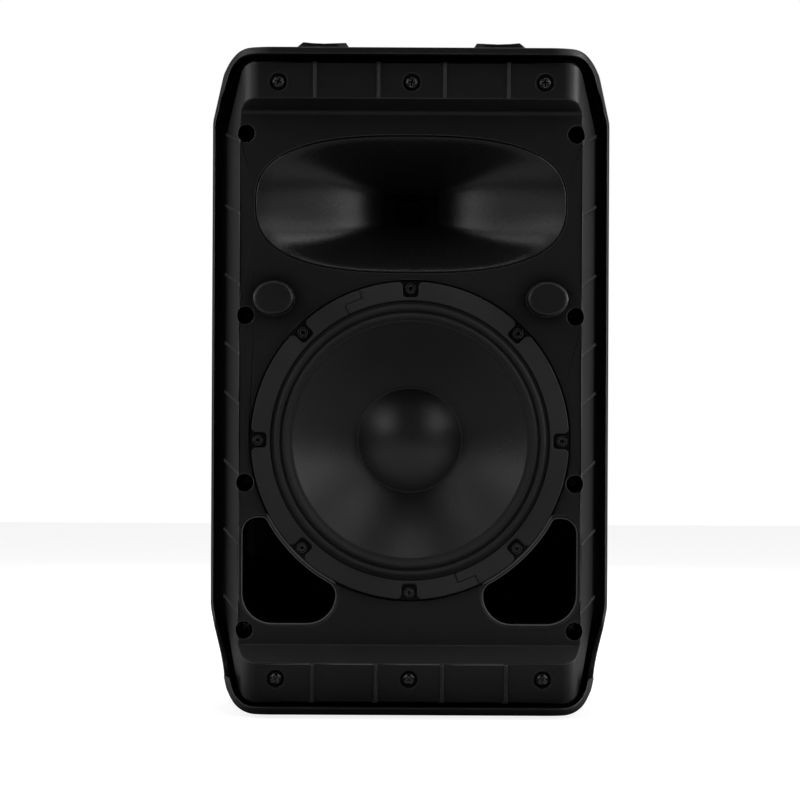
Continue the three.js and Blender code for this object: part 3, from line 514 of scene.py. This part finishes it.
# ---- camera ----
# Metres: the photograph shows this much across the rim's plane, taken here from this far off.
VIEW_WIDTH = 0.6368
VIEW_DISTANCE = 2.0
VIEW_MIDDLE = (-0.0082, 0.2511)
VIEW_ROLL = math.radians(-0.28)
SENSOR = 36
camera_data = bpy.data.cameras.new("camera")
camera = bpy.data.objects.new("camera", camera_data)
bpy.context.scene.collection.objects.link(camera)
camera.location = (VIEW_MIDDLE[0], RIM_Y - VIEW_DISTANCE, BASE_Z + VIEW_MIDDLE[1])
camera.rotation_euler = (math.pi / 2, VIEW_ROLL, 0)
camera_data.sensor_width = SENSOR
camera_data.lens = SENSOR * VIEW_DISTANCE / VIEW_WIDTH
camera_data.clip_end = 30
bpy.context.scene.camera = camera

# ---- front shell ----
def carrier(inset):
    """The raised front between the rims: ledges and side strips, as a solid block."""
    outline = along_y(carrier_outline(inset), -5, FLANK_BACK)
    return common(along_z(carrier_plan(inset), -10, HEIGHT + 10), outline)


def before_floor(back):
    """All that lies in front of the grille groove's floor."""
    plan = mirrored([(200, -20), (200, 80 + back), (148, 80 + back, 6), (124, 25 + back, 10)])
    return along_z(rounded(plan), -10, HEIGHT + 20)


def recess(inset):
    """The space in front of the baffle, between the two ledges."""
    side = [
        (-10, 25 - inset),
        (LEDGE, 40.2 - inset, 2),
        (BAFFLE + inset, LOWER_STEP - inset, 2),
        (BAFFLE + inset, UPPER_STEP + inset, 5),
        (LEDGE, 492 + inset, 2.5),
        (-10, 500 + inset),
    ]
    return along_x(rounded(side, 6), -180, 180)


def port_outline(side, grow):
    """A port's bore, or with grow its tube's outside: a corner of the baffle, hollowed to follow the woofer."""
    inner, outer, low, high = 58.8 - grow, 135.8 + grow, 69.5 - grow, 156.6 + grow
    r = 131.6 - grow
    hollow = [on_woofer(r, degrees) for degrees in spread(-32, -59.5, 16)]
    corners = rounded([
        (inner, low, 24 + grow),
        (outer, low, 25 + grow),
        (outer, high, 13 + grow),
        (math.sqrt(r * r - (WOOFER_H - high) ** 2), high, 6),
        *hollow,
        (inner, WOOFER_H - math.sqrt(r * r - inner * inner), 12),
    ], 10)
    return [(side * x, h) for x, h in corners]


def port(side, grow, d0, d1):
    return along_y(port_outline(side, grow), d0, d1)


def port_mouth(side):
    """What is cut away to slope a port's front edge."""
    sizes = ((2.4, 27), (1.7, 28), (0.8, 28.7), (0.1, 30.4))
    return stacked("mouth", [[mm(x, d, h) for x, h in port_outline(side, grow)] for grow, d in sizes])


def strip_rib(side, h):
    """A low rib that runs back and up along a side strip."""
    start = Vector(mm(side * 138.1, 28.5, h))
    end = Vector(mm(side * 152.2, 73, h + 10.3))
    run = end - start
    out = Vector((run.y, -run.x, 0)).normalized()
    up = out.cross(run).normalized()
    run_n = run.normalized()
    verts = []
    for t in (0, run.length):
        for a, b in ((-1.3, -RIB_HALF), (1.3, -RIB_HALF), (1.3, RIB_HALF), (-1.3, RIB_HALF)):
            verts.append(start + run_n * t + out * a / 1000 + up * b / 1000)
    faces = [[0, 1, 2, 3], [4, 5, 6, 7], [0, 1, 5, 4], [1, 2, 6, 5], [2, 3, 7, 6], [3, 0, 4, 7]]
    return mesh_object("rib", verts, faces)


def ledge_ribs(x):
    """The two upright ribs, on the top and bottom ledges, at one place across."""
    return [block((x - RIB_HALF, x + RIB_HALF), (6.9, 9), heights) for heights in ((493, 520.2), (10, 39.2))]


def grip_pad(x, h):
    """An oval pad the grille rests on, with a broad sloping edge round its face."""
    sizes = ((16.3, 13.7, 29), (16.3, 13.7, 14), (15.5, 12.9, 12.7), (13.7, 11.1, 12))
    return stacked("pad", [[mm(px, d, ph) for px, ph in superellipse(a, b, 2, 72, x, h)] for a, b, d in sizes])


def grille_groove():
    """The air between the rim and the raised front: the deep groove for the grille, open at the sides."""
    lip = rounded(
        mirrored([
            (139, 5.9, 21),
            (HALF_W - 2.5, BOTTOM_SHOULDER, 44),
            (HALF_W - 2.5, HEIGHT - TOP_SHOULDER, 28),
            (144, HEIGHT - 5.5, 21),
        ]),
        12,
    )
    opening = rounded([(-10, 26), (65, 26, 26), (65, HEIGHT - 26, 26), (-10, HEIGHT - 26)], 12)
    air = common(along_y(lip, -1, 84), before_floor(0))
    return cut(join(air, along_x(opening, -200, 200)), carrier(0))


def front_shell():
    shell = common(along_y(shell_outline(0), 0, FLANK_BACK), along_z(shell_plan(0), -20, HEIGHT + 20))
    air = grille_groove()
    inner = common(along_y(shell_outline(4), 0, 87), along_z(shell_plan(4), -20, HEIGHT + 20))
    inside = cut(join(carrier(WALL), cut(inner, before_floor(WALL))), recess(WALL))
    shell = cut(shell, air, recess(0), inside)
    horn_room = along_y(superellipse(135.5, 65.3, HORN_SQUARE, 72, 0, HORN_H), 31.5, 60)
    ring = cut(rod(0, WOOFER_H, 136, BAFFLE, 41, 128), horn_room)
    shell = join(shell, ring, *[rod(x, h, 9.2, 10, 26, 24) for x, h in LEDGE_SCREWS])
    tubes = [common(rod(x, h, 9, BAFFLE, 74, 32), carrier(0)) for x, h in SIDE_HOLES]
    shell = join(shell, *tubes, *[port(side, 3, BAFFLE, 110) for side in SIDES])
    raised = [grip_pad(side * PAD_X, PAD_H) for side in SIDES]
    raised += [strip_rib(side, h) for h in RIB_H for side in SIDES]
    for x in RIB_X:
        raised += ledge_ribs(x)
    shell = join(shell, *raised)
    return cut(
        shell,
        rod(0, WOOFER_H, REBATE_R, 20, REBATE_BACK, 160),
        rod(0, WOOFER_H, 116, 30, 50, 128),
        along_y(superellipse(125.8, 55.6, HORN_SQUARE, 160, 0, HORN_H), 20, 40),
        [port(side, 0, 20, 111) for side in SIDES],
        [port_mouth(side) for side in SIDES],
        [rod(x, h, 7.2, 5, 11, 48) for x, h in LEDGE_SCREWS],
        [rod(x, h, 2.7, 8, 30, 16) for x, h in LEDGE_SCREWS],
        [rod(x, h, 7, 20, 68, 40) for x, h in SIDE_HOLES],
        [rod(x, h, 2.9, 30, 45, 16) for x, h in WOOFER_BOLTS],
    )


finish(clean(front_shell()), "cabinet_front", SHELL_SKIN, replaces=["front_shell"],
       bevel=0.95)


# ---- horn ----
def flare(sections, sides):
    """A closed loop of cross-sections (depth, half-width, half-height, squareness) swept round the horn's axis."""
    verts, faces = [], []
    rows = len(sections)
    for d, a, b, n in sections:
        for x, h in superellipse(a, b, n, sides, 0, HORN_H):
            verts.append(mm(x, d, h))
    for i in range(rows):
        for k in range(sides):
            j = (i + 1) % rows
            k2 = (k + 1) % sides
            faces.append([i * sides + k, i * sides + k2, j * sides + k2, j * sides + k])
    return mesh_object("horn", verts, faces)


def horn():
    throat_a, throat_b = 21.6, 12.4
    wall = []
    for s in spread(0, 1, 29):
        wall.append((
            BAFFLE + 0.2 + 72 * s,
            throat_a + (HORN_A - 23) * (1 - s) ** 1.6,
            throat_b + (HORN_B - 13.8) * (1 - s) ** 1.35,
            HORN_SQUARE + 5.5 * s ** 1.3,
        ))
    inner = [(BAFFLE + lip, HORN_A - edge, HORN_B - edge, HORN_SQUARE) for lip, edge in ((0.2, 0.5), (0.4, 1.0))]
    inner += wall[1:]
    neck = 100.2
    for t in spread(0, 1, 9)[1:]:
        ease = t * t * (3 - 2 * t)
        inner.append((
            neck + (THROAT - neck) * t,
            throat_a + (12.7 - throat_a) * ease,
            throat_b + 0.3 * ease,
            8.2 + (2 - 8.2) * min(1, ease * 1.2),
        ))
    outer = [(THROAT, 32, 32, 2), (THROAT - 7, 32, 32, 2), (THROAT - 7, 17.5, 17.5, 2), (THROAT - 20, 25, 16.5, 4)]
    outer += [(d + 1.5, a + 3.6, b + 3.4, n) for d, a, b, n in (wall[i] for i in (22, 16, 10, 5))]
    flange = ((36, 2), (36, 9), (32.3, 9), (32.3, 0), (28.5, 0))
    outer += [(d, HORN_A + beyond, HORN_B + beyond, HORN_SQUARE) for d, beyond in flange]
    return flare(inner + outer, 256)


finish(horn(), "horn_flare", HORN_SKIN, replaces=["horn"], angle=28)

# ---- woofer ----
def cone_depth(r):
    return 28.8 + (CONE_R - r) * 0.66 + 4.2 * math.sin(math.pi * (CONE_R - r) / 68.5)


def cone():
    radii = spread(CONE_R, COIL_R + 1, 32)
    front = [(r, cone_depth(r)) for r in radii]
    back = [(r, cone_depth(r) + 1.1) for r in reversed(radii)]
    return turned("cone", [(98.3, 28.8)] + front + back + [(98.3, 29.9)], WOOFER_H, 192)


def roll(r):
    """Two rolls between the cone's lip and the frame's."""
    if r < ROLL_IN or r > ROLL_OUT:
        return 0.0
    return abs(math.sin(math.pi * (r - ROLL_IN) * 2 / (ROLL_OUT - ROLL_IN))) ** 0.8


def surround():
    radii = [95.3, 96.4] + spread(ROLL_IN, 104.1, 14) + spread(104.6, ROLL_OUT, 13) + [111.7, 112.6]
    front = [(r, 27.3 - 3.6 * roll(r)) for r in radii]
    back = [(r, 27.9 - 3.6 * roll(r)) for r in reversed(radii)]
    return turned("surround", front + back, WOOFER_H, 192)


def dust_cap():
    base = cone_depth(CAP_R) - 0.4
    radii = spread(0.001, CAP_R - 0.4, 24)
    dome = [(r, base - CAP_RISE * (1 - (r / CAP_R) ** 2) - 0.9) for r in radii]
    under = [(r, base - CAP_RISE * (1 - (r / CAP_R) ** 2)) for r in reversed(radii)]
    return turned("cap", dome + [(CAP_R + 0.4, base - 0.6), (CAP_R + 0.2, base + 0.1)] + under, WOOFER_H, 160)


def cap_glue():
    r = CAP_R + 0.9
    turns = spread(0, 2 * math.pi, 11)[:-1]
    ring = [(r + 0.9 * math.cos(t), cone_depth(r) - 0.1 + 0.7 * math.sin(t)) for t in turns]
    return turned("glue", ring, WOOFER_H, 160)


def gasket_region(slack):
    """The upper gasket half's share of the ring, ending at each side in a stepped joint."""
    low, high, step = -67.5, 112.5, 3.5
    mid = 121 - slack
    turn = math.degrees(slack / mid)
    first = [(60, low - step), (mid, low - step), (mid, low + step), (150, low + step)]
    last = [(150, high - step), (mid, high - step), (mid, high + step), (60, high + step)]
    points = [(r, degrees + turn) for r, degrees in first] + [(250, -20), (250, 22), (250, 65)]
    points += [(r, degrees - turn) for r, degrees in last]
    return [on_woofer(r, degrees) for r, degrees in points]


def gasket(upper):
    section = [(GASKET_IN, GASKET_FRONT), (GASKET_OUT, GASKET_FRONT)]
    section += [(GASKET_OUT, GASKET_BACK), (GASKET_IN, GASKET_BACK)]
    ring = turned("gasket", section, WOOFER_H, 192)
    region = along_y(gasket_region(0.15 if upper else -0.15), 20, 30)
    corners = [(115.6, -6.2, 3), (125.2, -6.2, 2.5), (131, -12), (131, 12), (125.2, 6.2, 2.5), (115.6, 6.2, 3)]
    notch = rounded(corners, 8)
    notches = [along_y(about_woofer(notch, k * math.pi / 4), 20, 30) for k in range(8)]
    half = common(ring, region) if upper else cut(ring, region)
    return cut(half, *notches)


def basket():
    frame_ring = turned("basket", [
        (110.5, BASKET_FRONT), (BASKET_R, BASKET_FRONT), (BASKET_R, 30.7), (114.5, 30.7), (113, 44), (77, 91),
        (77, 99), (30, 99), (30, 96), (65, 96), (65, 89.2), (73.5, 89.2), (73.5, 87), (110.5, 42.5)], WOOFER_H, 128)
    window = rounded([(76, -33, 8), (120, -33, 8), (120, 33, 8), (76, 33, 8)], 5)
    windows = [along_y(about_woofer(window, (k + 0.5) * math.pi / 3), 49, 81) for k in range(6)]
    return cut(frame_ring, *windows, [rod(x, h, 2.9, 25, 35, 16) for x, h in WOOFER_BOLTS])


finish(cone(), "cone_shown", CONE_SKIN, "woofer_motion", ["woofer_cone"])
finish(dust_cap(), "dust_cap_shown", CAP_SKIN, "woofer_motion", ["dust_cap"])
finish(cap_glue(), "cap_glue_bead", CAP_SKIN, "woofer_motion")
for name in ("gasket_upper", "gasket_lower"):
    half = clean(gasket(name == "gasket_upper"))
    finish(half, name + "_shown", GASKET_SKIN, replaces=[name], bevel=0.9, segments=3)
finish(clean(basket()), "basket_shown", BASKET_SKIN, replaces=["woofer_basket"], bevel=0.4)


def bending(obj, name, material, nodes):
    """A ring that spans from the cone at one radius to the cabinet at the other."""
    obj.name = name
    obj.data.materials.append(material)
    obj.data.shade_smooth()
    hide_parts(*nodes)
    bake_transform(obj)


def spider():
    radii = spread(COIL_R + 0.9, 73, 44)
    wave = [0.0 if r < 29 or r > 66 else 1.3 * math.sin((r - 29) / 37 * 2 * math.pi * 4) for r in radii]
    front = [(r, 88.1 + w) for r, w in zip(radii, wave)]
    back = [(r, 88.7 + w) for r, w in zip(reversed(radii), reversed(wave))]
    return turned("spider", front + back, WOOFER_H, 96)


bending(surround(), "surround_shown", ROLL_SKIN, ["woofer_surround"])
bending(spider(), "spider_shown", CLOTH_SKIN, ["woofer_spider"])

# ---- screws ----
def socket_screw():
    """A flat head with a six-sided socket."""
    front, head_back, tip = GASKET_FRONT + 0.1, GASKET_BACK, 44
    socket_r = 2.3
    profile = [(0.001, front), (2.6, front), (3.9, front), (4.3, front + 0.5), (4.3, head_back)]
    profile += [(socket_r, head_back), (socket_r, tip), (0.001, tip)]
    head = turned("socket_screw", profile, 0, 40)
    return cut(head, along_y(circle(0, 0, socket_r, 6), 20, 27.4))


def cross_screw(r, shank, length, seat):
    """A domed head with a cross recess; seat is the depth of the head's underside."""
    dome = [(r * math.sin(t), seat - 0.62 * r * math.cos(t)) for t in spread(0.15, 1.35, 9)]
    profile = [(0.001, seat - 0.62 * r)] + dome + [(r, seat - 0.1 * r), (r, seat)]
    profile += [(shank, seat), (shank, seat + length), (0.001, seat + length)]
    head = turned("cross_screw", profile, 0, 48)
    wide, thin = r * 0.62, r * 0.15
    depths = (seat - 12, seat - 0.22 * r)
    return cut(head, block((-wide, wide), depths, (-thin, thin)), block((-thin, thin), depths, (-wide, wide)))


def copies(pattern, places, name, material, body="cabinet", nodes=None):
    """One mesh shown at several (x, height) places, each turned a little differently."""
    pattern.data.materials.clear()
    pattern.data.materials.append(material)
    shade(pattern.data, 30)
    pivot = Vector(mm(0, 0, 0))
    for i, (x, h) in enumerate(places):
        obj = bpy.data.objects.new(f"{name}_{i + 1}", pattern.data)
        bpy.context.scene.collection.objects.link(obj)
        twist = Matrix.Rotation(0.7 * i + 0.3, 4, "Y")
        obj.matrix_world = Matrix.Translation(Vector(mm(x, 0, h))) @ twist @ Matrix.Translation(-pivot)
        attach(obj, body)
        if nodes:
            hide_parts(nodes[i])
    bpy.data.objects.remove(pattern)


copies(socket_screw(), WOOFER_BOLTS, "woofer_bolt", SCREW_SKIN, nodes=[f"woofer_screw_{i}" for i in range(1, 9)])
copies(cross_screw(5.5, 2.0, 14, 10.7), LEDGE_SCREWS, "ledge_bolt", SCREW_SKIN,
       nodes=[f"ledge_screw_{i}" for i in range(1, 7)])
copies(cross_screw(5.2, 2.2, 16, 67.6), SIDE_HOLES, "shell_bolt", SCREW_SKIN)

# ---- carried-over pieces ----
KEPT = {
    "rear_shell": SHELL_SKIN, "shell_seal": RUBBER_SKIN, "voice_coil": COPPER_SKIN, "woofer_top_plate": STEEL_SKIN,
    "woofer_magnet": FERRITE_SKIN, "woofer_back_plate": STEEL_SKIN, "hf_motor": SCREW_SKIN, "hf_magnet": FERRITE_SKIN,
    "hf_top_plate": STEEL_SKIN, "hf_diaphragm": BASKET_SKIN, "hf_rear_cap": KNOB_SKIN, "amp_panel": PANEL_SKIN,
    "amp_cover": BASKET_SKIN, "amp_board": BOARD_SKIN, "amp_transformer": WINDING_SKIN, "heat_sink": PANEL_SKIN,
    "combo_input": KNOB_SKIN, "release_tab": PIN_SKIN, "link_output": KNOB_SKIN, "mains_inlet": KNOB_SKIN,
    "rocker_bezel": KNOB_SKIN, "power_rocker": KNOB_SKIN, "volume_knob": KNOB_SKIN, "mic_line_button": PALE_SKIN,
    "boost_button": PALE_SKIN, "status_lens": GREEN_SKIN, "top_handle": SHELL_SKIN, "handle_screw_left": SCREW_SKIN,
    "handle_screw_right": SCREW_SKIN, "pole_socket": SCREW_SKIN, "damping_pad": FOAM_SKIN, "woofer_lead": WIRE_SKIN,
    "hf_lead": WIRE_SKIN, "foot_1": RUBBER_SKIN, "foot_2": RUBBER_SKIN, "foot_3": RUBBER_SKIN, "foot_4": RUBBER_SKIN,
}
# The width of the bevel on a carried-over piece's edges, in millimetres.
ROUNDED = {
    "rear_shell": 1.2, "top_handle": 1.2, "amp_panel": 0.5, "volume_knob": 0.4, "combo_input": 0.4,
    "link_output": 0.4, "mains_inlet": 0.4, "rocker_bezel": 0.3, "power_rocker": 0.3, "heat_sink": 0.25,
}
for node, material in KEPT.items():
    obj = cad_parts[node]
    if node in ROUNDED:
        bevel_edges(obj, ROUNDED[node], 2)
    if obj.material_slots:
        obj.material_slots[0].material = material

# ---- floor and light ----

def seen_only(nodes, links, low, high):
    """A value that is `high` for what the camera sees and `low` for what lights the object."""
    path = nodes.new("ShaderNodeLightPath")
    return remapped(nodes, links, path.outputs["Is Camera Ray"], (0, 1), (low, high))


floor_paper, nodes, links = new_material("floor_paper")
paper = nodes["Principled BSDF"]
paper.inputs["Base Color"].default_value = (0.5, 0.5, 0.5, 1)
paper.inputs["Roughness"].default_value = 0.9
paper.inputs["Emission Color"].default_value = (1, 1, 1, 1)
links.new(seen_only(nodes, links, 0.0, 0.85).outputs["Result"], paper.inputs["Emission Strength"])
FLOOR_HALF = 3
corners = [(FLOOR_HALF * a, FLOOR_HALF * b, 0) for a, b in ((-1, -1), (1, -1), (1, 1), (-1, 1))]
floor = mesh_object("floor", corners, [[0, 1, 2, 3]])
floor.data.materials.append(floor_paper)

LAMP_SIZE = 0.6
LAMP_DISTANCE = 1.7
LIT_CENTRE = Vector((0, RIM_Y + 0.05, BASE_Z + 0.28))


def soft_box(name, towards, power):
    """A square lamp that faces the speaker's front from one direction, out of the camera's sight."""
    data = bpy.data.lights.new(name, "AREA")
    data.shape = "RECTANGLE"
    data.size = data.size_y = LAMP_SIZE
    data.energy = power
    obj = bpy.data.objects.new(name, data)
    bpy.context.scene.collection.objects.link(obj)
    obj.location = LIT_CENTRE + Vector(towards).normalized() * LAMP_DISTANCE
    obj.rotation_euler = (LIT_CENTRE - obj.location).to_track_quat("-Z", "Y").to_euler()
    obj.visible_camera = False


soft_box("left_side", (-0.93, -0.25, 0.25), 2.6)
soft_box("right_side", (0.93, -0.25, 0.25), 3.2)
soft_box("left_flank", (-0.98, 0.1, 0.1), 2.2)
soft_box("right_flank", (0.98, 0.1, 0.1), 6.4)
soft_box("left_high", (-0.6, -0.35, 0.72), 1.6)
soft_box("right_high", (0.6, -0.35, 0.72), 2.3)
soft_box("left_near", (-0.62, -0.69, 0.37), 1.6)
soft_box("right_near", (0.66, -0.64, 0.37), 1.4)
soft_box("overhead", (0, -0.12, 0.99), 3.4)
soft_box("above_behind", (0, 0.4, 0.92), 5)
soft_box("left_behind", (-0.12, 0.95, 0.28), 3)
soft_box("right_behind", (0.12, 0.95, 0.28), 4)

# The surroundings are a white studio: white to look at, bright behind the speaker, dark before it.
world = bpy.data.worlds.new("studio")
bpy.context.scene.world = world
world.use_nodes = True
nodes, links = world.node_tree.nodes, world.node_tree.links
nodes["Background"].inputs["Color"].default_value = (1, 1, 1, 1)
where = nodes.new("ShaderNodeTexCoord")
split = nodes.new("ShaderNodeSeparateXYZ")
links.new(where.outputs["Generated"], split.inputs["Vector"])
behind = remapped(nodes, links, split.outputs["Y"], (-0.15, 0.35), (0.01, 0.18))
behind.interpolation_type = "SMOOTHSTEP"
level = seen_only(nodes, links, 0.0, 1.0)
links.new(behind.outputs["Result"], level.inputs["To Min"])
links.new(level.outputs["Result"], nodes["Background"].inputs["Strength"])
bpy.context.scene.view_settings.view_transform = "Standard"

bpy.context.view_layer.update()
